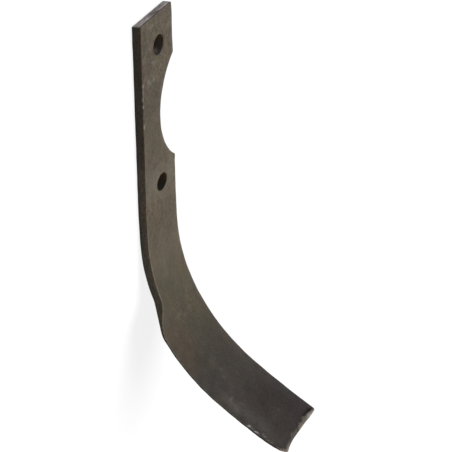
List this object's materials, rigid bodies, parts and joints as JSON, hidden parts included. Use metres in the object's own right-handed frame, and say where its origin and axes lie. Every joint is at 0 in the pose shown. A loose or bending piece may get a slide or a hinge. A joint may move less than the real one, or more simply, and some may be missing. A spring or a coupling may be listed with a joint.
{
  "type": "rotary tiller blade",
  "caption": "Steel bar blade with bolt holes and a round rotor notch at its flat end and an upturned, thin-lipped wing that cuts and throws soil on a tiller rotor.",
  "frame": {"origin": "midway between the bolt holes, on the mounting face", "axes": "+X along the flat shank towards the wing, +Y towards the notched edge, +Z out of the hollow front face, so the wing curls up"},
  "size_m": [0.2913, 0.0533, 0.112],
  "materials": {
    "scaled_steel": "dark hot-rolled mill scale, semi-matt, bare metal at chipped edges and at the sheared tip"
  },
  "bodies": {
    "root": {"tiller_blade": "scaled_steel"}
  },
  "joints": []
}
